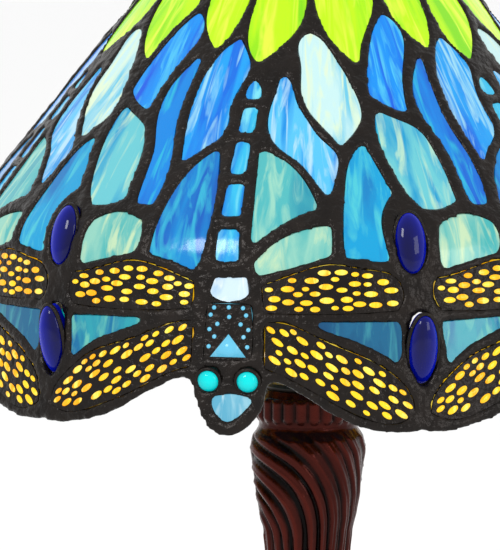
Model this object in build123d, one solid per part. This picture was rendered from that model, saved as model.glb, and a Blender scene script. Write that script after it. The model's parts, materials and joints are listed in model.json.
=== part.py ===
"""Table lamp with a leaded glass dragonfly shade on a cast, fluted column.

Millimetres, +Z up, origin at the middle of the foot's underside. Azimuth 0 on the shade is the middle of the
first dragonfly, which faces -Y turned by SHADE_TURN. A place on the shade is (azimuth in degrees, height above
the bend between its cone and its apron).
"""
import os
from math import atan, cos, degrees, pi, radians, sin, sqrt, tan

from build123d import *

os.makedirs("parts", exist_ok=True)

# ---------------------------------------------------------------- driving dimensions
SECTORS = 6                      # dragonflies round the shade
PITCH = 360 / SECTORS
SHADE_TURN = -12.8               # the first dragonfly stands this far round from -Y, degrees
BEND_Z = 400.0                   # height of the bend between cone and apron
BEND_R = 203.0                   # wall's middle radius at the bend
CONE_RISE = 1.248                # cone's height gained for each unit of radius lost
APRON_FLARE = 0.16               # apron's radius gained for each unit of height lost
BEND_FILLET = 45.0
APERTURE_H = 208.0               # top edge of the leaded wall, above the bend
RIM_H = -112.0                   # lowest that the wall's blank reaches
GLASS_T = 3.0
LEAD_T = 5.0
FILIGREE_T = 0.8
JEWEL_GAP = 0.25                 # between a jewel and its window

FELT_T = 3.0
FOOT_R = 96.0
FOOT_TOP = 46.0                  # where the column stands on the foot
COLUMN_TOP = 289.0
COLUMN_BORE = 15.0
FLUTES = 24                      # vertical lobes of the band under the column's top edge
CAP_TOP = 297.0
PIPE_R = 4.8                     # threaded pipe up the middle of the column, and the riser above it
PIPE_BORE = 3.0
PIPE_FOOT = 14.0
CLUSTER_LOW, CLUSTER_MID, CLUSTER_TOP = 318.0, 330.0, 342.0
LAMP_TILT = 50.0                 # lampholders' rise above the horizontal, degrees
LAMP_START = (28.0, 338.0)       # radius and height where each lampholder starts
BULB_R = 29.0
BULB_TIP = 138.0                 # along the lampholder's axis, as the next four are
CAP_END, SHELL_END, SCREW_START, SCREW_END = 14.0, 48.0, 26.0, 45.0
KNOB_AT = 20.0
RING_TOP = 613.0                 # top of the ring that finishes the shade's aperture
HUB_LOW, HUB_TOP = 620.4, 622.0  # the vented cap's flat middle
RISER_TOP = 633.0


# ---------------------------------------------------------------- helpers
def write(name, *solids):
    """Writes one node as a STEP file of separate solids."""
    flat = [s for shape in solids for s in shape.solids()]
    export_step(Compound(children=flat) if len(flat) > 1 else flat[0], f"parts/{name}.step")
    print(name, len(flat), "solids", round(sum(s.volume for s in flat)), "mm3")


def turned(points, z_axis=True):
    """A solid of revolution about Z from its (radius, height) outline."""
    return revolve(Plane.XZ * make_face(Polyline(*points, close=True)), Axis.Z)


def round_the_axis(shape, count=SECTORS, start=0.0):
    return [Rot(0, 0, start + i * 360 / count) * shape for i in range(count)]


# ---------------------------------------------------------------- the shade's wall
def wall_radius(h):
    return BEND_R - h / CONE_RISE if h > 0 else BEND_R - APRON_FLARE * h


def wall_point(azimuth, h):
    """A point on the wall's middle surface, with the dragonfly of azimuth 0 on -Y."""
    r, t = wall_radius(h), radians(azimuth)
    return Vector(r * sin(t), -r * cos(t), BEND_Z + h)


def wall_plane(azimuth, h):
    """The plane that touches the wall there: x runs round it, y up it and z out of it."""
    t = radians(azimuth)
    lean = atan(1 / CONE_RISE) if h > 0 else -atan(APRON_FLARE)
    out = Vector(sin(t) * cos(lean), -cos(t) * cos(lean), sin(lean))
    return Plane(wall_point(azimuth, h), x_dir=(cos(t), sin(t), 0), z_dir=out)


def wall_blank(inner, outer):
    """The whole wall as a solid of revolution, between two offsets from its middle surface."""
    cone_out = (CONE_RISE / sqrt(1 + CONE_RISE**2), 1 / sqrt(1 + CONE_RISE**2))
    apron_out = (1 / sqrt(1 + APRON_FLARE**2), APRON_FLARE / sqrt(1 + APRON_FLARE**2))

    def edge(offset):
        top = (wall_radius(APERTURE_H) + offset * cone_out[0], APERTURE_H + offset * cone_out[1])
        low = (wall_radius(RIM_H) + offset * apron_out[0], RIM_H + offset * apron_out[1])
        slope_a, slope_b = -1 / CONE_RISE, -APRON_FLARE
        h = (low[0] - slope_b * low[1] - top[0] + slope_a * top[1]) / (slope_a - slope_b)
        middle = (top[0] + slope_a * (h - top[1]), h)
        ends = [(wall_radius(APERTURE_H) + offset / cone_out[0], APERTURE_H), middle,
                (wall_radius(RIM_H) + offset / apron_out[0], RIM_H)]
        return FilletPolyline(*[(r, BEND_Z + z) for r, z in ends], radius=BEND_FILLET + offset)

    a, b = edge(outer), edge(inner)
    loop = Wire([*a.edges(), Line(a @ 1, b @ 1), *b.edges(), Line(b @ 0, a @ 0)])
    return revolve(Plane.XZ * make_face(loop), Axis.Z)


def is_corner(before, here, after):
    """True where an outline turns sharply enough to be a corner and not part of a curve."""
    return (here - before).get_angle(after - here) > 50


def prism(outline, grow=0.0, reach=16.0):
    """The outline, given as (azimuth, height) points, made smooth between its corners and pushed through the wall."""
    azimuth = sum(p[0] for p in outline) / len(outline)
    h = sum(p[1] for p in outline) / len(outline)
    plane = wall_plane(azimuth, h)
    flat = [plane.to_local_coords(wall_point(*p)) for p in outline]
    flat = [Vector(p.X, p.Y) for p in flat]
    n = len(flat)
    corners = [i for i in range(n) if is_corner(flat[i - 1], flat[i], flat[(i + 1) % n])]
    if not corners:
        face = make_face(Spline(*flat, periodic=True))
    else:
        edges = []
        for k, first in enumerate(corners):
            last = corners[(k + 1) % len(corners)]
            count = (last - first) % n or n
            run = [flat[(first + i) % n] for i in range(count + 1)]
            edges.append(Line(*run) if len(run) == 2 else Spline(*run))
        face = make_face(Wire(edges))
    return extrude(plane * face, reach, both=True)


def shift(outline, azimuth):
    return [(a + azimuth, h) for a, h in outline]


# ---------------------------------------------------------------- the cartoon: one sector, azimuth 0 to 60
PETALS = [
    [(0, 95), (-3.6, 104), (-5, 117), (-4.2, 135), (-2.5, 152), (-1.5, 172), (8.5, 172), (10, 152), (10.8, 118), (4.5, 103)],
    [(26.2, 94), (21, 103.5), (17.4, 114), (15, 128), (13.5, 150), (12.2, 172), (31, 172), (34, 150), (34, 126), (29.6, 113)],
    [(47.2, 102), (43, 110), (40, 119), (38, 134), (36, 152), (35, 172), (53.5, 172), (54, 152), (53, 132), (51.6, 118)],
]
CROWN = [[(a + 1.6, 178), (a + 18.4, 178), (a + 18.4, 203), (a + 1.6, 203)] for a in (0, 20, 40)]
PALE_LEAVES = [
    [(12.8, 112), (10.3, 107), (10.9, 95), (11.3, 78), (14, 66), (17, 57.5), (19.3, 50), (22, 57), (24.2, 65), (24, 77),
     (22, 89), (19, 101), (16, 109)],
]
BROAD_LEAVES = [
    [(36.4, 122.5), (33, 116), (29.5, 103), (27.4, 88), (27, 78), (30.5, 72), (35.1, 68), (35.6, 80), (37.5, 93), (40.7, 111)],
    [(53.5, 108.5), (50, 103), (47, 92), (45.9, 78), (46.3, 62), (47.2, 50), (48.2, 38.5), (51.5, 48), (55.2, 57),
     (55.4, 70), (56.4, 82), (58, 91.5), (56.3, 101)],
]
SLIM_LEAVES = [
    [(6, 89.5), (8.2, 86), (10, 75), (12.4, 65), (15.5, 54), (18.3, 46), (17.9, 34), (16.6, 21), (14, 32), (11, 42),
     (7.2, 49), (5, 56), (4.2, 64), (5, 77)],
    [(43.9, 102), (41.5, 94), (38.7, 84), (37.9, 72), (39, 60), (40.9, 48), (41.5, 34), (42, 18), (45.1, 17.5),
     (45.9, 30), (45.4, 45), (44, 58), (43.3, 75), (43.6, 89)],
]
LOW_LEAVES = [
    [(3.2, 48.5), (7.5, 44), (11.6, 34), (13.5, 25), (14.6, 17), (9.5, 11), (6.2, 4), (3.7, -2)],
    [(23.9, 52), (21, 44), (19.6, 32), (18.9, 18), (18.5, 4), (18.6, -8.5), (22, -10.5), (25.7, -12), (25.2, -3),
     (24.8, 8), (25.6, 17), (27.8, 24.5), (26.2, 36)],
    [(27.9, 69.5), (27, 60), (27.4, 49), (28.8, 36), (30.6, 24), (32.8, 16), (36, 16.5), (39.2, 20), (39, 34),
     (38, 49), (36.4, 58), (32, 64.5)],
    [(55.2, 48.5), (51, 39), (48.8, 28), (47.6, 14), (47, -8.5), (51, -12), (54.8, -17), (56, -8), (56.5, 6),
     (56.6, 20), (56, 36)],
]
WING_TOP_PANES = [
    [(16.8, 9.5), (11.5, 6.5), (7.2, -1), (4.3, -11), (4.8, -18), (10, -13.5), (16.5, -6.5)],
    [(38, 13.5), (34.6, 8.5), (34, -2), (34.2, -15.5), (38, -12), (44, -7.5), (45, 0), (44.5, 9.5)],
]
BETWEEN_WINGS = [
    [(12.2, -43), (20, -43.5), (27, -43.5), (27.1, -56), (26.6, -68), (23.5, -60), (18, -51.5)],
    [(33.4, -44.5), (40, -43.5), (48, -43), (43, -50.5), (38, -58), (34.2, -69.5), (33.9, -57)],
]
TAIL = [
    [(-1.6, 75.5), (-1.6, 81), (0, 86.5), (1.7, 81), (1.8, 75.5)],
    [(-1.75, 57.5), (-1.6, 71), (1.7, 71), (1.6, 57.5)],
    [(-1.9, 35), (-1.7, 52.5), (1.3, 52.5), (1.2, 35)],
    [(-1.8, 13), (-1.8, 30), (1.4, 30), (1.5, 13)],
    [(-1.8, -10.5), (-1.8, 7), (1.7, 7), (1.9, -10.5)],
]
BACK_PLATE = [(-1.7, -19), (-2.5, -28), (-0.8, -31.5), (2.3, -31.5), (3.7, -28), (3.3, -19)]
BODY_PLATE = [(-2.6, -33.5), (-2.9, -50), (-2.9, -64), (4.3, -64), (4.5, -50), (4.0, -33.5)]
FACE = [(-1.6, -85.5), (0.8, -83.5), (4.8, -86), (3.4, -93), (0.9, -99.5), (-1, -93)]
EYES = [(-2.0, -76.0), (3.9, -76.0)]
EYE_R = 6.2
UPPER_WINGS = [
    [(5.6, -23), (10, -17.5), (16.8, -11.5), (22, -14.5), (26.6, -19.5), (27.6, -28), (26.6, -37), (16, -38.5), (6, -38)],
    [(33, -20), (38, -16.5), (44.5, -11.5), (50, -15.5), (55, -22), (54.9, -36), (44, -38.5), (33.6, -37.5), (32.4, -28)],
]
LOWER_WINGS = [
    [(6.2, -43.5), (10.2, -45), (15.5, -54), (21, -62.5), (25.4, -72), (28, -83), (28.6, -94), (26, -99), (20.5, -95),
     (16, -86.5), (11, -76), (6.3, -68.5)],
    [(55.2, -43), (51, -46), (45, -55), (38, -64), (34.6, -73), (31.8, -84), (31, -94), (34, -98), (40, -93),
     (46, -83.5), (50.5, -74.5), (55.2, -68)],
]
JEWELS = {  # azimuth, height, half width and half height of each oval
    "upper": (29.3, -0.5, 9.0, 17.5),
    "lower": (30.2, -58.8, 8.4, 19.8),
}
# The open air under the rim, on each side of a head.
UNDER_RIGHT = [(0.4, -106.5), (3.2, -103.5), (5.2, -96), (6.4, -86), (6.8, -78.5), (8, -76), (10.5, -80), (14, -88),
               (18, -97), (22, -102.5), (26, -104.5), (30.6, -103.5), (30.6, -135), (0.4, -135)]
UNDER_LEFT = [(61.4, -106.5), (61.4, -135), (29.4, -135), (29.4, -103.5), (34, -104.5), (38, -101.5), (42, -97),
              (47, -86.5), (51, -78.5), (53.5, -75), (55.4, -77), (56, -85), (57.2, -95), (58.9, -103.5)]


# ---------------------------------------------------------------- the shade's pieces
lead_blank = wall_blank(-LEAD_T / 2, LEAD_T / 2)
glass_blank = wall_blank(-GLASS_T / 2, GLASS_T / 2)
plate_blank = wall_blank(GLASS_T / 2, GLASS_T / 2 + FILIGREE_T)


def jewel_plane(azimuth, h):
    """As wall_plane, but a jewel on the bend faces midway between the cone and the apron, on the fillet."""
    plane = wall_plane(azimuth, h)
    if abs(h) > 5:
        return plane
    steep, flat = atan(1 / CONE_RISE), -atan(APRON_FLARE)
    t, lean = radians(azimuth), (steep + flat) / 2
    sink = BEND_FILLET * (1 / cos((steep - flat) / 2) - 1)
    out = Vector(sin(t) * cos(lean), -cos(t) * cos(lean), sin(lean))
    return Plane(plane.origin - out * sink, x_dir=(cos(t), sin(t), 0), z_dir=out)


def oval_jewel(azimuth, h, half_w, half_h, dome):
    """A cabochon: a domed oval with a short straight girdle set in its window."""
    base = extrude(Ellipse(half_w, half_h), LEAD_T, both=False)
    top = scale(Sphere(1), by=(half_w, half_h, dome)) & Box(4 * half_w, 4 * half_h, 2 * dome,
                                                           align=(Align.CENTER, Align.CENTER, Align.MIN))
    return jewel_plane(azimuth, h) * (Pos(0, 0, -LEAD_T / 2) * base + Pos(0, 0, LEAD_T / 2) * top)


def jewel_window(azimuth, h, half_w, half_h):
    return jewel_plane(azimuth, h) * extrude(Ellipse(half_w + JEWEL_GAP, half_h + JEWEL_GAP), 14, both=True)


def panes(outlines, blank=None):
    return [(blank or glass_blank) & prism(o) for o in outlines]


groups = {
    "crown_glass": CROWN,
    "lime_petal_glass": PETALS,
    "pale_leaf_glass": PALE_LEAVES,
    "broad_leaf_glass": BROAD_LEAVES,
    "slim_leaf_glass": SLIM_LEAVES,
    "low_leaf_glass": LOW_LEAVES,
    "wing_top_glass": WING_TOP_PANES,
    "between_wing_glass": BETWEEN_WINGS,
    "tail_glass": TAIL,
    "back_plate_glass": [BACK_PLATE],
    "body_glass": [BODY_PLATE],
    "face_glass": [FACE],
    "upper_wing_glass": UPPER_WINGS,
    "lower_wing_glass": LOWER_WINGS,
}
for name, outlines in groups.items():
    write(name, *[s for p in panes(outlines) for s in round_the_axis(p, start=SHADE_TURN)])

for name, outlines in {"upper_wing_filigree": UPPER_WINGS, "lower_wing_filigree": LOWER_WINGS,
                       "body_filigree": [BODY_PLATE]}.items():
    write(name, *[s for p in panes(outlines, plate_blank) for s in round_the_axis(p, start=SHADE_TURN)])

windows = [prism(o) for outlines in groups.values() for o in outlines]
for name, (a, h, w, l) in JEWELS.items():
    write(f"{name}_oval_jewels", *round_the_axis(oval_jewel(a, h, w, l, 6.5), start=SHADE_TURN))
    windows.append(jewel_window(a, h, w, l))
eyes = [oval_jewel(a, h, EYE_R, EYE_R, 4.5) for a, h in EYES]
write("eye_jewels", *[s for e in eyes for s in round_the_axis(e, start=SHADE_TURN)])
windows += [jewel_window(a, h, EYE_R, EYE_R) for a, h in EYES]
windows += [prism(UNDER_RIGHT, reach=30), prism(UNDER_LEFT, reach=30)]

# One sector of the lead net, cut by its own windows and by those that reach over from its neighbours.
reach_over = [Rot(0, 0, d * PITCH) * w for d in (-1, 1) for w in windows]
wedge_r, wedge_h = 2 * BEND_R, APERTURE_H - RIM_H + 20
wedge = extrude(make_face(Polyline((0, 0), (0, -wedge_r), (wedge_r * sin(radians(PITCH)), -wedge_r * cos(radians(PITCH))),
                                   close=True)), wedge_h)
sector = lead_blank & (Pos(0, 0, BEND_Z + RIM_H - 10) * wedge)
sector = sector - windows - reach_over
write("shade_lattice", *round_the_axis(max(sector.solids(), key=lambda s: s.volume), start=SHADE_TURN))

# ---------------------------------------------------------------- the shade's crown
wall_top = BEND_Z + APERTURE_H
write("aperture_ring", turned([(32.5, wall_top), (40, wall_top), (41, wall_top + 2.5), (40, RING_TOP), (32.5, RING_TOP)]))
cap = turned([(40, RING_TOP), (40, RING_TOP + 1.6), (33, RING_TOP + 3.4), (26, RING_TOP + 7), (14, HUB_TOP),
              (5.3, HUB_TOP), (5.3, HUB_LOW), (13.5, HUB_LOW), (25, RING_TOP + 5.2), (32, RING_TOP + 1.8), (38, RING_TOP)])
vents = [Rot(0, 0, i * 45) * Pos(21, 0, RING_TOP) * Cylinder(2.4, 30) for i in range(8)]
write("vented_cap", cap - vents)
write("seat_washer", Pos(0, 0, HUB_LOW) * extrude(Circle(13) - Circle(5.1), -2))


def hex_nut(across, hole, low, height):
    return Pos(0, 0, low) * extrude(RegularPolygon(across / 2, 6, major_radius=False) - Circle(hole), height)


# ---------------------------------------------------------------- the finial
finial = turned([(6.6, HUB_TOP), (9.5, HUB_TOP), (10, HUB_TOP + 2), (7.5, HUB_TOP + 4), (8.2, HUB_TOP + 7),
                 (11, HUB_TOP + 13), (11, HUB_TOP + 17), (8.2, HUB_TOP + 22), (4, HUB_TOP + 26), (3, HUB_TOP + 30),
                 (0, HUB_TOP + 32), (0, HUB_TOP + 13), (6.6, HUB_TOP + 13)])
write("finial", finial)
write("finial_insert", Pos(0, 0, HUB_TOP) * extrude(Circle(6.6) - Circle(PIPE_R + 0.05), 12.5))

# ---------------------------------------------------------------- the column and foot
write("felt_pad", extrude(Circle(FOOT_R - 4), FELT_T))
foot_outer = [(FOOT_R - 1, FELT_T), (FOOT_R, 9), (FOOT_R - 7, 15), (FOOT_R - 24, 21), (54, 29), (43, 37), (38, FOOT_TOP)]
foot_inner = [(5.2, FOOT_TOP), (5.2, 24), (14, 24), (58, 22), (82, 13), (82, FELT_T)]
inlet_z, inlet_r = 9.0, 4.0
rear = Plane(origin=(0, 78, inlet_z), z_dir=(0, 1, 0))
foot = turned(foot_outer + foot_inner) - rear * extrude(Circle(inlet_r + 1.5), 30)
write("foot_casting", foot)
bushing = extrude(Circle(inlet_r + 1.5) - Circle(inlet_r), 20) + Pos(0, 0, 18) * extrude(
    Circle(inlet_r + 1.9) - Circle(inlet_r), 2)
write("inlet_bushing", rear * bushing)
write("ballast_disc", Pos(0, 0, FELT_T) * extrude(Circle(74) - Circle(18), 9))

column_line = [(38, FOOT_TOP), (33, 60), (26.5, 85), (22.5, 120), (23, 155), (25.4, 195), (29.3, 219), (33.5, 246),
               (35.3, 257), (33.8, 265), (30.8, 271)]
band = [(30.8, 271), (32, 275), (32, COLUMN_TOP)]
side = [Spline(*column_line), Polyline(*band), Polyline(band[-1], (0, COLUMN_TOP), (0, FOOT_TOP), column_line[0])]
column = revolve(Plane.XZ * make_face(Wire([e for line in side for e in line.edges()])), Axis.Z)
bore_low = FOOT_TOP + 6
column -= Pos(0, 0, bore_low) * extrude(Circle(COLUMN_BORE), COLUMN_TOP)
column -= extrude(Circle(5.2), COLUMN_TOP)
grooves = [Rot(0, 0, i * 360 / FLUTES) * Pos(33.6, 0, COLUMN_TOP - 13) * Cylinder(2.4, 40, align=(
    Align.CENTER, Align.CENTER, Align.MIN)) for i in range(FLUTES)]
write("column_casting", column - grooves)
write("column_collar", turned([(COLUMN_BORE - 1, COLUMN_TOP), (28.5, COLUMN_TOP), (27, COLUMN_TOP + 4),
                               (COLUMN_BORE - 1, COLUMN_TOP + 4)]))
write("column_cap", turned([(5.2, COLUMN_TOP + 4), (25, COLUMN_TOP + 4), (25.5, COLUMN_TOP + 6), (24, CAP_TOP),
                            (5.2, CAP_TOP)]))
tube = Circle(PIPE_R) - Circle(PIPE_BORE)
write("threaded_pipe", Pos(0, 0, PIPE_FOOT) * extrude(tube, CLUSTER_MID - PIPE_FOOT))
write("foot_nut", hex_nut(17, PIPE_R, 16.4, 6))
write("lock_washer", Pos(0, 0, 22.4) * extrude(Circle(13) - Circle(PIPE_R), 1.6))
write("column_locknut", hex_nut(17, PIPE_R, CAP_TOP, 5))
write("spacer_tube", Pos(0, 0, CAP_TOP + 5) * extrude(Circle(7.5) - Circle(PIPE_R), CLUSTER_LOW - CAP_TOP - 5))

# ---------------------------------------------------------------- the lampholder cluster and riser
tilt = radians(LAMP_TILT)
AXES = [Plane(origin=(side * LAMP_START[0], 0, LAMP_START[1]), x_dir=(0, side, 0),
              z_dir=(side * cos(tilt), 0, sin(tilt))) for side in (1, -1)]
body = turned([(PIPE_R, CLUSTER_LOW), (11, CLUSTER_LOW), (15, CLUSTER_LOW + 4), (15, CLUSTER_TOP - 5), (9, CLUSTER_TOP),
               (PIPE_R, CLUSTER_TOP)])
write("cluster_body", body)
write("cluster_arms", *[axis * Pos(0, 0, -16) * extrude(Circle(4.6), 16) - turned(
    [(0, CLUSTER_LOW), (11, CLUSTER_LOW), (15, CLUSTER_LOW + 4), (15, CLUSTER_TOP - 5), (9, CLUSTER_TOP),
     (0, CLUSTER_TOP)]) for axis in AXES])
write("riser_rod", Pos(0, 0, CLUSTER_MID) * extrude(tube, RISER_TOP - CLUSTER_MID))
write("seat_nut", hex_nut(17, PIPE_R, HUB_LOW - 8, 6))
knob_hole = Pos(0, 0, KNOB_AT) * (Rot(0, 90, 0) * extrude(Circle(2.6), -30))
holder_cap = turned([(0, 0), (8, 0), (17, 7), (17, CAP_END), (15.5, CAP_END), (15.5, 8), (7.4, 1.6), (0, 1.6)])
shell = Pos(0, 0, CAP_END) * extrude(Circle(17) - Circle(15.5), SHELL_END - CAP_END) - knob_hole
liner = Pos(0, 0, CAP_END) * extrude(Circle(15.4) - Circle(14.4), SCREW_END - CAP_END) - knob_hole
interior = Pos(0, 0, 10) * extrude(Circle(14.2), SCREW_START - 10) - knob_hole
screw = Pos(0, 0, SCREW_START) * extrude(Circle(14) - Circle(13.3), SCREW_END - SCREW_START)
contact = Pos(0, 0, SCREW_START) * extrude(Circle(3.5), 2)
knob = Pos(0, 0, KNOB_AT) * Rot(0, 90, 0) * (Pos(0, 0, -20) * extrude(Circle(2.5), 15) + Pos(0, 0, -21) * extrude(
    Ellipse(3, 7), -10) + Pos(0, 0, -21) * extrude(Circle(4.5), 2))
base = turned([(0, 28.4), (4.5, 28.4), (12.6, 33), (12.9, 34), (12.9, 52), (0, 52)])
rise = [(12.6, 52), (14.5, 60), (20, 76), (26.5, 94), (BULB_R, 110), (25.5, 126), (13, 135.8), (0, BULB_TIP)]
globe = revolve(Plane.XZ * make_face(Wire([*Spline(*rise, tangents=[(0.1, 1), (-1, 0)]).edges(),
                                           *Polyline(rise[-1], (0, 52), rise[0]).edges()])), Axis.Z)
for n, axis in enumerate(AXES, 1):
    for name, shape in [("holder_cap", holder_cap), ("holder_shell", shell), ("holder_liner", liner),
                        ("holder_interior", interior), ("screw_shell", screw), ("centre_contact", contact),
                        ("switch_knob", knob), ("bulb_base", base), ("bulb_glass", globe)]:
        write(f"{name}_{n}", axis * shape)
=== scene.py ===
# %% [markdown]
# # A dragonfly table lamp
# The real lamp is a cone of coloured glass panes held in blackened solder, on a cast column with a dark
# red-brown patina. The frame gives every part its size and place. This lesson gives each part its surface,
# and rebuilds the pieces whose beauty is in small shapes: the beaded solder, the pierced wings and the
# swirling folds of the column.

# %% Load the frame
import json
import math
import random

import bmesh
import bpy
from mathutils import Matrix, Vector
from mathutils.geometry import intersect_point_line


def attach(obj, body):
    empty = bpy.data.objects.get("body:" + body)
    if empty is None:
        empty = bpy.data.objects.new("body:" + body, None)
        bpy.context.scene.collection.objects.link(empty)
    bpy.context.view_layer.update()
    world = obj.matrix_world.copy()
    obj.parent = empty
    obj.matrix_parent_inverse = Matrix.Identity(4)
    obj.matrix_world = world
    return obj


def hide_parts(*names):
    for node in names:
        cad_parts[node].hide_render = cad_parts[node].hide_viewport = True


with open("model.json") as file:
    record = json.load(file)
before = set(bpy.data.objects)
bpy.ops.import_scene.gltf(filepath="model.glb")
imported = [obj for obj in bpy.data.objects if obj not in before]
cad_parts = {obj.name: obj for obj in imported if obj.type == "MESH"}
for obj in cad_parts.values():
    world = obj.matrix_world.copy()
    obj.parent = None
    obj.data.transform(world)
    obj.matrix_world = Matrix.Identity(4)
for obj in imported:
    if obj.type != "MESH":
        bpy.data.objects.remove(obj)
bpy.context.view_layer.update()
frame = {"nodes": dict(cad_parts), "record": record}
nodes = frame["nodes"]
print("the frame has", len(nodes), "parts")

# %% [markdown]
# ## Measures
# The shade's wall is a cone above a bend and a nearly upright apron below it. The solder, dots and small
# plates all lie on that wall, so one function turns a place on it, an azimuth in degrees and a height above
# the bend in millimetres, into a point in the frame. It is worked out from the same few numbers as the
# shade itself.

# %% The shade's wall
MM = 0.001
SECTORS = 6
PITCH = 360 / SECTORS
SHADE_TURN = -12.8
BEND_Z, BEND_R = 400.0, 203.0
CONE_RISE, APRON_FLARE = 1.248, 0.16


def wall_point(azimuth, height, proud=0.0):
    t = math.radians(azimuth + SHADE_TURN)
    on_cone = height > 0
    r = BEND_R - height / CONE_RISE if on_cone else BEND_R - APRON_FLARE * height
    lean = math.atan(1 / CONE_RISE) if on_cone else -math.atan(APRON_FLARE)
    r += proud * math.cos(lean)
    return Vector((r * math.sin(t), -r * math.cos(t), BEND_Z + height + proud * math.sin(lean))) * MM


print("bend at", tuple(round(c, 3) for c in wall_point(0, 0)))

# %% [markdown]
# ## A small language for shaders
# Node trees are hard to read as code when each link is a line. Here one class wraps a socket, and its
# operators add the Math nodes, so a pattern reads as a formula. Any other node comes from one method,
# `node`.

# %% Sockets as values
class Value:
    def __init__(self, tree, socket):
        self.tree, self.socket = tree, socket

    def math(self, operation, *others):
        return self.tree.node("ShaderNodeMath", {"operation": operation}, [self, *others])

    def __add__(self, other): return self.math("ADD", other)
    def __radd__(self, other): return self.math("ADD", other)
    def __sub__(self, other): return self.math("SUBTRACT", other)
    def __rsub__(self, other): return (self * -1.0) + other
    def __mul__(self, other): return self.math("MULTIPLY", other)
    def __rmul__(self, other): return self.math("MULTIPLY", other)
    def __truediv__(self, other): return self.math("DIVIDE", other)


class Tree:
    """A material's nodes, with its Principled shader ready for use."""

    def __init__(self, name):
        self.material = bpy.data.materials.new(name)
        self.material.use_nodes = True
        self.nodes = self.material.node_tree.nodes
        self.links = self.material.node_tree.links
        self.shader = self.nodes["Principled BSDF"]

    def put(self, socket, value):
        if isinstance(value, Value):
            self.links.new(value.socket, socket)
        else:
            socket.default_value = value

    def node(self, kind, settings, values, output=0):
        made = self.nodes.new(kind)
        for name, value in settings.items():
            if name == "stops":
                ramp = made.color_ramp
                while len(ramp.elements) < len(value):
                    ramp.elements.new(0.5)
                for element, (place, color) in zip(ramp.elements, value):
                    element.position, element.color = place, color
            elif name == "blend":
                made.color_ramp.interpolation = value
            else:
                setattr(made, name, value)
        items = values.items() if isinstance(values, dict) else enumerate(values)
        for key, value in items:
            self.put(made.inputs[key], value)
        return Value(self, made.outputs[output])

    def set(self, **values):
        for name, value in values.items():
            self.put(self.shader.inputs[name.replace("_", " ")], value)
        return self

    def place(self):
        """The point on the surface as separate x, y and z, in metres."""
        point = self.node("ShaderNodeNewGeometry", {}, {})
        split = self.node("ShaderNodeSeparateXYZ", {}, [point])
        return point, [Value(self, split.socket.node.outputs[i]) for i in range(3)]

    def noise(self, vector, scale, detail=3.0, distortion=0.0):
        return self.node("ShaderNodeTexNoise", {}, {
            "Vector": vector, "Scale": scale, "Detail": detail, "Distortion": distortion})

    def mix(self, amount, a, b):
        made = self.nodes.new("ShaderNodeMix")
        made.data_type = "RGBA"
        for index, value in ((0, amount), (6, a), (7, b)):
            self.put(made.inputs[index], value)
        return Value(self, made.outputs[2])

    def bump(self, height, strength, distance):
        return self.node("ShaderNodeBump", {}, {"Height": height, "Strength": strength, "Distance": distance})


def srgb(r, g, b):
    """A colour given as 0 to 255 screen values, as the linear values that a shader takes."""
    def linear(c):
        c = c / 255
        return c / 12.92 if c < 0.04045 else ((c + 0.055) / 1.055) ** 2.4
    return (linear(r), linear(g), linear(b), 1.0)


def dress(node, material):
    mesh = nodes[node].data
    mesh.materials.clear()
    mesh.materials.append(material)


# %% [markdown]
# ## Opalescent glass
# Real art glass is two or three colours of melt, pulled into streaks and rolled. The streaks run with the
# pane, up the cone. They could be painted by hand, but a noise stretched along the cone gives each pane its
# own piece of the sheet. Each kind of pane sits at its own azimuth in a sector, so steps along the azimuth
# choose the sheet it is cut from. The lamp is lit, so the glass also glows a little in its own colour.

# %% Streaky glass
GLOW = 0.4
LIT_SHARE = 0.5         # how much of its colour the glass gives back from the room
BLACK = (0, 0, 0, 1)
SHEET_ROUND = 0.0035    # how fast the sheet's pattern passes, for each degree round the shade
SHEET_UP = 0.22         # and for each metre up it: the streaks are long because this is small
SHEET_WARP = 0.028      # how far the streaks wander sideways
WISP_SHARE = 0.85
GLASS_ROUGHNESS = 0.16


def art_glass(name, sheets, streak=46.0, glow=GLOW):
    """sheets: (azimuth where it starts, deep colour, main colour, pale colour), in order round a sector."""
    tree = Tree(name)
    point, (x, y, z) = tree.place()
    turn = x.math("ARCTAN2", y * -1.0) * (180 / math.pi) + (720 - SHADE_TURN)
    step = turn.math("MODULO", PITCH) / PITCH
    flow = tree.node("ShaderNodeCombineXYZ", {}, [turn * SHEET_ROUND, z * SHEET_UP, x * 0.4])
    warp = tree.noise(flow, 34.0, 2.0)
    across = turn * SHEET_ROUND + warp * SHEET_WARP
    sheet = tree.node("ShaderNodeCombineXYZ", {}, [across, z * SHEET_UP, warp * 0.05])
    streaks = tree.noise(sheet, streak, 5.0, 0.6)
    wisps = tree.noise(sheet, streak * 2.4, 4.0, 1.2)
    colours = []
    for shade in (1, 2, 3):
        stops = [(row[0] / PITCH, srgb(*row[shade])) for row in sheets]
        if len(stops) == 1:
            colours.append(stops[0][1])
        else:
            steps = {"blend": "CONSTANT", "stops": stops}
            colours.append(tree.node("ShaderNodeValToRGB", steps, {"Fac": step}))
    deep = tree.node("ShaderNodeMapRange", {}, {"Value": streaks, "From Min": 0.38, "From Max": 0.53})
    pale = tree.node("ShaderNodeMapRange", {}, {"Value": wisps, "From Min": 0.5, "From Max": 0.66})
    colour = tree.mix(pale * WISP_SHARE, tree.mix(deep, colours[0], colours[1]), colours[2])
    ripple = tree.bump(tree.noise(point, 90.0, 2.0), 0.22, 0.002)
    body = tree.mix(LIT_SHARE, BLACK, colour)
    tree.set(Base_Color=body, Emission_Color=colour, Emission_Strength=glow)
    tree.set(Roughness=GLASS_ROUGHNESS, Normal=ripple)
    tree.set(Coat_Weight=0.1, Coat_Roughness=0.08, IOR=1.5, Specular_IOR_Level=0.25)
    return tree.material


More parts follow.
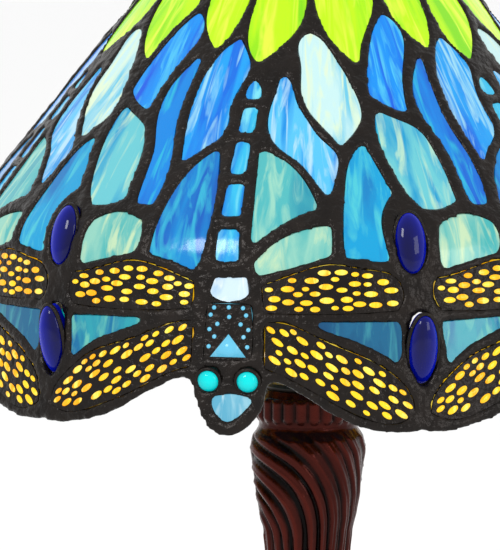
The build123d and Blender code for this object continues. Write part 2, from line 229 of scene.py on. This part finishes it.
LIME = art_glass("lime_sheet", [(0, (128, 214, 0), (186, 240, 0), (226, 255, 70))], 30, 0.5)
dress("lime_petal_glass", LIME)
dress("crown_glass", art_glass("crown_sheet", [(0, (0, 105, 190), (20, 155, 222), (125, 205, 240))]))
dress("pale_leaf_glass", art_glass("white_sheet", [(0, (110, 200, 228), (198, 236, 236), (226, 244, 205))]))
dress("broad_leaf_glass", art_glass("sky_sheet", [
    (0, (0, 90, 225), (0, 145, 240), (80, 200, 240)),
    (43.6, (0, 110, 225), (20, 160, 240), (165, 225, 240))]))
dress("slim_leaf_glass", art_glass("leaf_sheet", [
    (0, (0, 140, 225), (85, 195, 245), (190, 228, 245)), (28, (0, 90, 205), (0, 135, 225), (40, 190, 220))]))
dress("low_leaf_glass", art_glass("teal_sheet", [
    (0, (20, 140, 170), (80, 185, 188), (160, 218, 195)), (17, (0, 120, 190), (0, 160, 215), (80, 205, 215)),
    (27.2, (20, 155, 205), (105, 200, 210), (190, 230, 200)),
    (43, (0, 95, 190), (0, 135, 210), (50, 185, 215))]))
dress("wing_top_glass", art_glass("seafoam_sheet", [(0, (70, 180, 180), (145, 208, 190), (205, 230, 185))]))
dress("between_wing_glass", art_glass("storm_sheet", [
    (0, (0, 75, 120), (20, 100, 140), (60, 150, 165)), (30, (0, 110, 160), (40, 160, 175), (110, 198, 180))]))
dress("tail_glass", art_glass("tail_sheet", [(0, (0, 130, 225), (50, 190, 235), (130, 228, 240))]))
dress("back_plate_glass", art_glass("ice_sheet", [(0, (170, 205, 235), (212, 236, 250), (240, 250, 255))]))
dress("body_glass", art_glass("body_sheet", [(0, (60, 160, 200), (110, 190, 215), (170, 215, 235))]))
dress("face_glass", art_glass("face_sheet", [(0, (95, 175, 205), (140, 202, 222), (190, 226, 236))]))
AMBER = art_glass("amber_sheet", [(0, (250, 168, 0), (255, 205, 30), (255, 236, 105))], 60, 0.7)
dress("upper_wing_glass", AMBER)
dress("lower_wing_glass", AMBER)
print("glass sheets cut")

# %% [markdown]
# ## Blackened solder
# Copper foil round each pane is covered with solder, then darkened. It stands up as a rounded, lumpy bead
# with small bright glints. The part's net is square-edged, so a copy is remeshed into small cells and
# smoothed, which rounds every edge, and then pushed in and out by a cloud pattern for the lumps. The net is
# then divided in three round the axis, because one mesh of that many cells is heavy to handle.

# %% Solder metal and its bead
def solder_metal():
    tree = Tree("blackened_solder")
    point, _ = tree.place()
    blotch = tree.noise(point, 70.0, 5.0)
    lumps = tree.noise(point, 240.0, 3.0)
    colour = tree.mix(blotch, srgb(9, 8, 8), srgb(38, 32, 28))
    tree.set(Base_Color=colour, Metallic=0.5, Roughness=blotch * 0.3 + 0.14)
    tree.set(Normal=tree.bump(lumps, 0.8, 0.0016))
    tree.set(Specular_IOR_Level=0.25)
    return tree.material


SOLDER = solder_metal()


def apply_modifiers(obj):
    graph = bpy.context.evaluated_depsgraph_get()
    graph.update()
    mesh = bpy.data.meshes.new_from_object(obj.evaluated_get(graph))
    obj.modifiers.clear()
    obj.data = mesh
    return mesh


def beaded(source, name, cell=1.7, swell=0.4):
    """A rounded, lumpy copy of one part, made of small cells."""
    piece = bpy.data.objects.new(name, nodes[source].data.copy())
    bpy.context.scene.collection.objects.link(piece)
    remesh = piece.modifiers.new("cells", "REMESH")
    remesh.mode, remesh.voxel_size, remesh.use_smooth_shade = "VOXEL", cell * MM, True
    smooth = piece.modifiers.new("round", "SMOOTH")
    smooth.factor, smooth.iterations = 0.6, 4
    clouds = bpy.data.textures.new(name + "_lumps", "CLOUDS")
    clouds.noise_scale, clouds.noise_depth = 0.007, 1
    for strength, texture in ((swell * MM, None), (1.3 * MM, clouds)):
        push = piece.modifiers.new("push", "DISPLACE")
        push.strength, push.mid_level = strength, 0.0 if texture is None else 0.5
        push.texture = texture
    mesh = apply_modifiers(piece)
    mesh.materials.clear()
    mesh.materials.append(SOLDER)
    mesh.shade_smooth()
    print(name, len(mesh.polygons), "faces")
    return piece


def part_of_turn(whole, name, index, count):
    """The faces of a ring-shaped piece that lie in one of several equal turns round Z."""
    cells = bmesh.new()
    cells.from_mesh(whole.data)
    other = []
    for face in cells.faces:
        middle = face.calc_center_median()
        turn = (math.atan2(middle.y, middle.x) / (2 * math.pi)) % 1.0
        if int(turn * count) != index:
            other.append(face)
    bmesh.ops.delete(cells, geom=other, context="FACES")
    mesh = whole.data.copy()
    cells.to_mesh(mesh)
    cells.free()
    piece = bpy.data.objects.new(name, mesh)
    bpy.context.scene.collection.objects.link(piece)
    return piece


NET_PARTS = 3
whole_net = beaded("shade_lattice", "solder_net")
for index in range(NET_PARTS):
    net = part_of_turn(whole_net, f"solder_net_{index + 1}", index, NET_PARTS)
    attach(net, "shade")
    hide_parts("shade_lattice")
bpy.data.objects.remove(whole_net)
for node in ("upper_wing_filigree", "lower_wing_filigree", "body_filigree", "aperture_ring"):
    dress(node, SOLDER)

# %% [markdown]
# ## Pierced wings
# Over each wing's amber glass lies a thin metal plate, pierced with uneven ovals, so that the glass shows
# as glowing dots. The holes could be cut through the plate, which needs a far denser mesh. Here the plate
# stays whole, and each dot is a low glass dome set just proud of it, which looks the same from outside.
# Dots are dropped one by one where there is room, larger first, and each is drawn out along the wing.

# %% Drop dots into a wing
UPPER_WINGS = [
    [(5.6, -23), (10, -17.5), (16.8, -11.5), (22, -14.5), (26.6, -19.5), (27.6, -28), (26.6, -37),
     (16, -38.5), (6, -38)],
    [(33, -20), (38, -16.5), (44.5, -11.5), (50, -15.5), (55, -22), (54.9, -36), (44, -38.5), (33.6, -37.5),
     (32.4, -28)],
]
LOWER_WINGS = [
    [(6.2, -43.5), (10.2, -45), (15.5, -54), (21, -62.5), (25.4, -72), (28, -83), (28.6, -94), (26, -99),
     (20.5, -95), (16, -86.5), (11, -76), (6.3, -68.5)],
    [(55.2, -43), (51, -46), (45, -55), (38, -64), (34.6, -73), (31.8, -84), (31, -94), (34, -98), (40, -93),
     (46, -83.5), (50.5, -74.5), (55.2, -68)],
]
WIDTH_PER_DEGREE = math.pi * 208 / 180
PLATE_FACE = 2.3                # the plate's face above the middle of the wall
DOT_SIZES = ((3.7, 2.05, 130), (3.0, 1.85, 500), (2.3, 1.6, 1100))      # half length, half width, tries


def inside(polygon, x, y, margin):
    """True if the point lies in the polygon and at least margin from its edge."""
    hit = False
    for (ax, ay), (bx, by) in zip(polygon, polygon[1:] + polygon[:1]):
        if (ay > y) != (by > y) and x < (bx - ax) * (y - ay) / (by - ay) + ax:
            hit = not hit
        near, share = intersect_point_line(Vector((x, y, 0)), Vector((ax, ay, 0)), Vector((bx, by, 0)))
        share = min(max(share, 0.0), 1.0)
        if math.hypot(x - ax - share * (bx - ax), y - ay - share * (by - ay)) < margin:
            return False
    return hit


def drop_dots(outline, lean, seed):
    """Ovals as (x, y, half length, half width) in millimetres on the unrolled wall."""
    rng = random.Random(seed)
    wing = [(a * WIDTH_PER_DEGREE, h) for a, h in outline]
    xs, ys = [p[0] for p in wing], [p[1] for p in wing]
    placed = []
    for half_length, half_width, tries in DOT_SIZES:
        for _ in range(tries):
            x, y = rng.uniform(min(xs), max(xs)), rng.uniform(min(ys), max(ys))
            if not inside(wing, x, y, half_width + 0.7):
                continue
            free = True
            for px, py, pl, pw in placed:
                along = (x - px) * math.cos(lean) + (y - py) * math.sin(lean)
                across = -(x - px) * math.sin(lean) + (y - py) * math.cos(lean)
                if math.hypot(along / (half_length + pl + 0.75), across / (half_width + pw + 0.7)) < 1:
                    free = False
                    break
            if free:
                length = half_length * rng.uniform(0.88, 1.08)
                placed.append((x, y, length, half_width * rng.uniform(0.9, 1.05)))
    return placed


def dome(verts, faces, azimuth, height, half_length, half_width, lean, rise, sides=14, base=PLATE_FACE - 0.3):
    """Adds one low oval dome on the wall to a mesh in the making."""
    first = len(verts)
    for ring, lift in ((1.0, 0.0), (0.92, 0.62), (0.6, 0.92)):
        for k in range(sides):
            t = 2 * math.pi * k / sides
            u, v = ring * half_length * math.cos(t), ring * half_width * math.sin(t)
            x = u * math.cos(lean) - v * math.sin(lean)
            y = u * math.sin(lean) + v * math.cos(lean)
            verts.append(wall_point(azimuth + x / WIDTH_PER_DEGREE, height + y, base + rise * lift))
    verts.append(wall_point(azimuth, height, base + rise))
    for ring in range(2):
        for k in range(sides):
            a, b = first + ring * sides + k, first + ring * sides + (k + 1) % sides
            faces.append((a, b, b + sides, a + sides))
    top = first + 2 * sides
    faces.extend((top + k, top + (k + 1) % sides, first + 3 * sides) for k in range(sides))
    faces.append(tuple(first + k for k in reversed(range(sides))))


def mesh_piece(name, verts, faces, material, body):
    mesh = bpy.data.meshes.new(name)
    mesh.from_pydata(verts, [], faces)
    mesh.materials.append(material)
    mesh.shade_smooth()
    piece = bpy.data.objects.new(name, mesh)
    bpy.context.scene.collection.objects.link(piece)
    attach(piece, body)
    print(name, len(faces), "faces")
    return piece


def wing_dots(name, wings, leans):
    verts, faces = [], []
    for seed, (outline, lean) in enumerate(zip(wings, leans)):
        for x, y, half_length, half_width in drop_dots(outline, lean, seed + 11):
            for sector in range(SECTORS):
                azimuth = x / WIDTH_PER_DEGREE + sector * PITCH
                dome(verts, faces, azimuth, y, half_length * 1.06, half_width * 0.84, lean, 1.25)
    return mesh_piece(name, verts, faces, AMBER, "shade")


wing_dots("upper_wing_dots", UPPER_WINGS, (0.0, 0.0))
wing_dots("lower_wing_dots", LOWER_WINGS, (-0.62, 0.62))

# %% [markdown]
# ## The dragonfly's body plate
# The body has small blue dots down both sides and one triangle, set on its plate in the same way. They are
# few and each has its own place, so they are simply listed for one dragonfly and repeated.

# %% Body dots and triangle
BODY_DOTS = [(-1.6, -35.5), (0.7, -35.2), (2.9, -35.5), (0.8, -40.5), (-2.1, -39.5), (3.4, -39.5),
             (-1.0, -44.5), (2.6, -44.5), (-2.2, -47.5), (3.8, -47.5), (-1.4, -51.5), (3.1, -51.5),
             (-2.2, -57.0), (3.7, -57.0)]
TRIANGLE = [(0.8, -50), (-1.9, -62.6), (3.5, -62.6)]
PLATE_BLUE = art_glass("plate_blue", [(0, (40, 150, 215), (105, 200, 235), (175, 226, 242))])
verts, faces = [], []
for sector in range(SECTORS):
    for azimuth, height in BODY_DOTS:
        dome(verts, faces, azimuth + sector * PITCH, height, 1.25, 1.25, 0.0, 1.1)
    first = len(verts)
    for proud in (PLATE_FACE - 0.4, PLATE_FACE + 0.5):
        verts.extend(wall_point(a + sector * PITCH, h, proud) for a, h in TRIANGLE)
    faces.extend([(first, first + 1, first + 2), (first + 5, first + 4, first + 3)])
    faces.extend((first + k, first + 3 + k, first + 3 + (k + 1) % 3, first + (k + 1) % 3) for k in range(3))
mesh_piece("body_dots", verts, faces, PLATE_BLUE, "shade")


# %% [markdown]
# ## Jewels
# The ovals and eyes are pressed, polished glass with light behind them. Deep colour in the middle and a
# lighter edge come from how far the light travels, so the pattern mixes by how squarely the surface is
# seen, and a clear coat gives the sharp highlight.

# %% Polished jewels
def jewel(name, heart, edge, glow):
    tree = Tree(name)
    facing = tree.node("ShaderNodeLayerWeight", {}, {"Blend": 0.35}, 1)
    colour = tree.mix(facing, srgb(*heart), srgb(*edge))
    tree.set(Base_Color=colour, Emission_Color=colour, Emission_Strength=glow, Roughness=0.05)
    tree.set(Coat_Weight=0.22, Coat_Roughness=0.02, IOR=1.45, Specular_IOR_Level=0.12)
    return tree.material


COBALT = jewel("cobalt_jewel", (0, 1, 58), (0, 26, 200), 0.16)
dress("upper_oval_jewels", COBALT)
dress("lower_oval_jewels", COBALT)
dress("eye_jewels", jewel("turquoise_jewel", (0, 190, 190), (0, 80, 100), 0.3))

# %% [markdown]
# ## Beads round the jewels
# Solder is run right round each jewel, in a bead that laps its edge and holds it. A swept curve would do,
# but the bead has to sit on the tilted face of its jewel, so its rings are placed one by one from the jewel's
# own frame.

# %% Solder beads round ovals and eyes
BEND_FILLET = 45.0
JEWELS = [(29.3, -0.5, 9.0, 17.5), (30.2, -58.8, 8.4, 19.8), (-2.0, -76.0, 6.2, 6.2), (3.9, -76.0, 6.2, 6.2)]
BEAD_R = 1.25
BEAD_STEPS, BEAD_SIDES = 48, 10


def jewel_frame(azimuth, height):
    """The middle of a jewel's face and the directions round, up and out of the wall there."""
    t = math.radians(azimuth + SHADE_TURN)
    steep, upright = math.atan(1 / CONE_RISE), -math.atan(APRON_FLARE)
    on_bend = abs(height) < 5
    lean = (steep + upright) / 2 if on_bend else upright
    sink = BEND_FILLET * (1 / math.cos((steep - upright) / 2) - 1) if on_bend else 0.0
    across = Vector((math.cos(t), math.sin(t), 0))
    out = Vector((math.sin(t) * math.cos(lean), -math.cos(t) * math.cos(lean), math.sin(lean)))
    return wall_point(azimuth, height) - out * sink * MM, across, out.cross(across), out


verts, faces = [], []
for sector in range(SECTORS):
    for azimuth, height, half_w, half_h in JEWELS:
        middle, across, up, out = jewel_frame(azimuth + sector * PITCH, height)
        first = len(verts)
        for i in range(BEAD_STEPS):
            t = 2 * math.pi * i / BEAD_STEPS
            away = (across * half_h * math.cos(t) + up * half_w * math.sin(t)).normalized()
            core = across * (half_w + 0.5) * math.cos(t) + up * (half_h + 0.5) * math.sin(t) + out * 2.5
            for k in range(BEAD_SIDES):
                u = 2 * math.pi * k / BEAD_SIDES
                spot = core + away * BEAD_R * math.cos(u) + out * BEAD_R * 1.1 * math.sin(u)
                verts.append(middle + spot * MM)
        for i in range(BEAD_STEPS):
            for k in range(BEAD_SIDES):
                a, b = first + i * BEAD_SIDES, first + (i + 1) % BEAD_STEPS * BEAD_SIDES
                c = (k + 1) % BEAD_SIDES
                faces.append((a + k, b + k, b + c, a + c))
mesh_piece("jewel_beads", verts, faces, SOLDER, "shade")

# %% [markdown]
# ## The column
# The column is cast with a band of upright lobes under its top edge and long folds that swirl down its
# bulge. A sculpted mesh could do this, but the folds follow a rule: ridges round the column whose phase
# turns with height. So the surface is a grid whose radius is the profile plus the lobes and folds, each
# faded in over its own heights.

# %% Cast column
PROFILE = [(46, 38), (60, 33), (85, 26.5), (120, 22.5), (155, 23), (195, 25.4), (207, 26.6), (219, 29.3),
           (231, 31.6), (246, 33.3), (257, 34.6), (264, 33.6), (270, 29.8), (273.5, 29.4), (277, 31.8),
           (287, 31.8), (289, 30.6)]
FLUTES = 24
# One swirl's eye stands here round the column, and a second stands opposite.
SWIRL_START = math.radians(-178)
SWIRL_Z, SWIRL_R, FOLD_WIDTH = 203.0, 32.0, 9.5


def profile(z):
    for (z0, r0), (z1, r1) in zip(PROFILE, PROFILE[1:]):
        if z <= z1:
            s = (z - z0) / (z1 - z0)
            return r0 + (r1 - r0) * (s if z > 268 else s * s * (3 - 2 * s) * 0.35 + s * 0.65)
    return PROFILE[-1][1]


def fade(value, low, high):
    s = min(max((value - low) / (high - low), 0.0), 1.0)
    return s * s * (3 - 2 * s)


def column_radius(theta, z):
    """The profile, with its lobed band above the neck and, below it, folds nested round the swirl's eye."""
    lobe = abs(math.sin(theta * FLUTES / 2))
    scallop = 273.0 + 2.0 * (1 - lobe)
    in_band = fade(z, scallop - 0.5, scallop + 1.6) * (1 - fade(z, 286.5 + 1.6 * lobe, 289))
    r = profile(z) + in_band * (2.1 * lobe ** 0.7 - 1.5)
    around = ((theta - SWIRL_START) % math.pi) * SWIRL_R
    reach = math.hypot(around, 0.92 * max(z - SWIRL_Z, 0.0) + 2.0 * math.sin(around * 0.09))
    turn = (reach / FOLD_WIDTH + 0.12 * math.sin(reach * 0.21)) % 1.0
    fold = math.sin(math.pi * turn ** 0.6)
    fine = abs(math.sin(math.pi * reach / FOLD_WIDTH * 2.5 + 0.8 * math.sin(z * 0.08)))
    seam = fade(around, 0, 4) * (1 - fade(around, math.pi * SWIRL_R - 5, math.pi * SWIRL_R))
    near = 1 - 0.55 * fade(reach, 45, 75)
    depth = (1 - fade(z, 264 - 3 * lobe, 271)) * fade(z, 47, 60) * (0.45 + 0.55 * fade(z, 90, 190))
    return r + depth * seam * (near * (3.6 * fold - 2.7) + 0.6 * fine - 0.3)


def cast_metal(name, has_crests):
    """The patina is nearly black in the folds, and the ridges are a lighter red brown, partly patina thinned
    by rubbing and partly a painted highlight: crest says which.
    """
    tree = Tree(name)
    point, _ = tree.place()
    if has_crests:
        crest = tree.node("ShaderNodeAttribute", {"attribute_name": "crest"}, {}, 2)
    else:
        crest = tree.noise(point, 24.0, 3.0)
    cloud = tree.noise(point, 45.0, 5.0)
    grain = tree.noise(point, 420.0, 3.0)
    # Higher crests mix toward the lighter red brown: partly real rubbing of the patina, partly a painted
    # highlight on the ridges.
    rubbing_and_highlight = crest + cloud * 0.5
    patina_and_highlight = tree.node("ShaderNodeMapRange", {}, {"Value": rubbing_and_highlight, "From Min": 0.45, "From Max": 1.35})
    colour = tree.mix(patina_and_highlight, srgb(6, 3, 3), srgb(84, 27, 18))
    tree.set(Base_Color=colour, Metallic=0.8, Roughness=cloud * 0.2 + 0.12)
    tree.set(Normal=tree.bump(grain, 0.25, 0.0006))
    tree.set(Specular_IOR_Level=0.3)
    return tree.material


def crested_piece(name, verts, faces, crests):
    """A cast piece on the lamp's body, whose points know how high on a ridge they stand."""
    piece = mesh_piece(name, verts, faces, CRESTED_BRONZE, "lamp")
    mark = piece.data.attributes.new("crest", "FLOAT", "POINT")
    for point, value in enumerate(crests):
        mark.data[point].value = min(max(value, 0.0), 1.0)
    return piece


def rings_to_faces(rings, around):
    """Quads between rings of points, with the first and last ring closed."""
    quads = []
    for low in range(0, (rings - 1) * around, around):
        for k in range(around):
            following = (k + 1) % around
            quads.append((low + k, low + following, low + around + following, low + around + k))
    bottom = tuple(reversed(range(around)))
    top = tuple((rings - 1) * around + k for k in range(around))
    return quads + [bottom, top]


BRONZE = cast_metal("mahogany_bronze", False)
CRESTED_BRONZE = cast_metal("mahogany_bronze_folds", True)
AROUND, UP = 320, 200
verts, crests = [], []
low, high = PROFILE[0][0], PROFILE[-1][0]
heights = [low + (high - low) * (i / (UP - 1)) ** 0.8 for i in range(UP)]
for z in heights:
    for k in range(AROUND):
        theta = 2 * math.pi * k / AROUND
        r = column_radius(theta, z)
        verts.append(Vector((r * math.cos(theta), r * math.sin(theta), z)) * MM)
        # The higher a point stands on a ridge, the higher its crest, which the bronze paints lighter as
        # rubbing and a painted highlight.
        crests.append(0.55 + (r - profile(z)) * 0.25)
column = crested_piece("fluted_column", verts, rings_to_faces(UP, AROUND), crests)
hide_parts("column_casting")

# %% [markdown]
# ## The foot
# The foot repeats the column's folds as long radial petals that run out to a plain rounded rim. It is made
# in the same way, as rings of points, but here the folds push along the slope of the dome instead of
# straight out.

# %% Cast foot
FOOT_LINE = [(90, 3), (95, 3.4), (96, 9), (93, 13.5), (84, 17), (72, 21.5), (54, 29), (43, 37), (38, 46)]
FOOT_PETALS = 16
FOOT_STEPS = 12


def between(a, b, c, d, t):
    """A value part of the way from b to c, on the smooth curve through all four."""
    bend, twist = 2 * a - 5 * b + 4 * c - d, 3 * b - a - 3 * c + d
    return 0.5 * (2 * b + (c - a) * t + bend * t * t + twist * t ** 3)


def smooth_line(points, steps):
    """Points along a Catmull-Rom curve through the given ones."""
    ends = [points[0]] + points + [points[-1]]
    line = []
    for p0, p1, p2, p3 in zip(ends, ends[1:], ends[2:], ends[3:]):
        for k in range(steps):
            t = k / steps
            line.append(tuple(between(*four, t) for four in zip(p0, p1, p2, p3)))
    return line + [points[-1]]


foot_line = smooth_line(FOOT_LINE, FOOT_STEPS)
verts, crests = [], []
for r, z in foot_line:
    for k in range(AROUND):
        theta = 2 * math.pi * k / AROUND
        petal = abs(math.sin(theta * FOOT_PETALS / 2 + 0.018 * (r - 40)))
        vein = abs(math.sin(theta * FOOT_PETALS * 1.5 + 0.05 * (r - 40)))
        share = fade(z, 13.5, 19) * (1 - fade(z, 40, 46))
        push = share * (1.9 * petal ** 0.6 - 1.7 + 0.35 * vein)
        out, up = r + push * 0.4, z + push * 0.9
        verts.append(Vector((out * math.cos(theta), out * math.sin(theta), up)) * MM)
        # Petal ridges and a band round the rim's rounded shoulder get higher crests, which the bronze paints
        # lighter: partly rubbing, partly a painted highlight.
        crests.append(0.5 + 0.3 * push + 0.25 * fade(z, 6, 10) * (1 - fade(z, 13, 17)))
foot = crested_piece("petalled_foot", verts, rings_to_faces(len(foot_line), AROUND), crests)
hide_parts("foot_casting")


# %% [markdown]
# ## Metals, porcelain and the rest
# The other parts keep the shape that the frame gives them. Each gets a surface of its own kind: a colour
# that drifts, a roughness that drifts with it, and a fine bump.

# %% Plain finishes
def finish(name, dark, light, metallic, rough, grain, depth):
    tree = Tree(name)
    point, _ = tree.place()
    drift = tree.noise(point, 38.0, 4.0)
    fine = tree.noise(point, grain, 3.0)
    tree.set(Base_Color=tree.mix(drift, srgb(*dark), srgb(*light)), Metallic=metallic,
             Roughness=drift * 0.2 + rough, Normal=tree.bump(fine, depth, 0.0005))
    return tree.material


def frosted(name):
    tree = Tree(name)
    point, _ = tree.place()
    haze = tree.noise(point, 60.0, 2.0)
    colour = tree.mix(haze, srgb(226, 208, 176), srgb(238, 224, 198))
    tree.set(Base_Color=colour, Emission_Color=colour, Emission_Strength=0.3, Roughness=0.3)
    return tree.material


FINISHES = {
    "bronze": BRONZE,
    "brass": finish("antique_brass", (120, 84, 36), (176, 134, 66), 1.0, 0.22, 300.0, 0.15),
    "steel": finish("zinc_plate", (150, 152, 155), (190, 190, 190), 1.0, 0.25, 500.0, 0.1),
    "iron": finish("rough_iron", (34, 33, 32), (62, 60, 58), 0.6, 0.55, 220.0, 0.5),
    "felt": finish("green_felt", (18, 52, 30), (32, 74, 44), 0.0, 0.8, 900.0, 0.8),
    "black_plastic": finish("black_moulding", (12, 12, 12), (26, 26, 26), 0.0, 0.2, 400.0, 0.08),
    "card": finish("fibre_card", (120, 92, 60), (152, 122, 84), 0.0, 0.65, 260.0, 0.3),
    "porcelain": finish("glazed_porcelain", (222, 216, 204), (240, 236, 228), 0.0, 0.12, 150.0, 0.05),
    "aluminium": finish("spun_aluminium", (176, 178, 182), (206, 208, 210), 1.0, 0.2, 350.0, 0.1),
    "frosted_glass": frosted("frosted_bulb"),
}
for row in frame["record"]["subparts"]:
    if row["material_slot"] in FINISHES:
        dress(row["node"], FINISHES[row["material_slot"]])
# The column cap is painted near black, a painted shade for the shadow it sits in under the shade's rim.
dress("column_cap", finish("painted_shade_cap", (14, 12, 11), (30, 24, 22), 0.5, 0.35, 200.0, 0.3))
print("finishes:", ", ".join(FINISHES))

# %% [markdown]
# ## Studio
# A pale floor and a white surround show the lamp as a catalogue would. One large soft light stands high at
# the front left and a weaker one at the right, so the solder and the jewels carry small, sharp highlights.

# %% Floor, lights and camera
def floor_finish():
    tree = Tree("pale_floor")
    tree.set(Base_Color=srgb(250, 250, 250), Roughness=0.8)
    return tree.material


FLOOR_REACH, FLOOR_Z = 40.0, -0.001     # far enough that its edge is never seen
floor_mesh = bpy.data.meshes.new("floor")
corners = [(x * FLOOR_REACH, y * FLOOR_REACH, FLOOR_Z) for x, y in ((-1, -1), (1, -1), (1, 1), (-1, 1))]
floor_mesh.from_pydata(corners, [], [(0, 1, 2, 3)])
floor_mesh.materials.append(floor_finish())
floor = bpy.data.objects.new("floor", floor_mesh)
bpy.context.scene.collection.objects.link(floor)

world = bpy.data.worlds.new("studio")
bpy.context.scene.world = world
world.use_nodes = True
world.node_tree.nodes["Background"].inputs["Color"].default_value = (1, 1, 1, 1)
world.node_tree.nodes["Background"].inputs["Strength"].default_value = 1.0


def soft_light(name, place, aim, size, watts):
    data = bpy.data.lights.new(name, "AREA")
    data.size, data.energy = size, watts
    light = bpy.data.objects.new(name, data)
    light.location = place
    light.rotation_euler = (Vector(aim) - Vector(place)).to_track_quat("-Z", "Y").to_euler()
    bpy.context.scene.collection.objects.link(light)


soft_light("key", (-1.3, -1.9, 1.9), (0, 0, 0.4), 0.7, 26)
soft_light("fill", (1.7, -1.5, 1.0), (0, 0, 0.35), 0.9, 11)

camera_data = bpy.data.cameras.new("camera")
camera_data.lens = 310.7
camera = bpy.data.objects.new("camera", camera_data)
camera.location = (0, -2.842, 0.653)
camera.rotation_euler = Vector((-0.0123, 1, -0.1026)).to_track_quat("-Z", "Y").to_euler()
bpy.context.scene.collection.objects.link(camera)
bpy.context.scene.camera = camera
bpy.context.scene.view_settings.view_transform = "Standard"
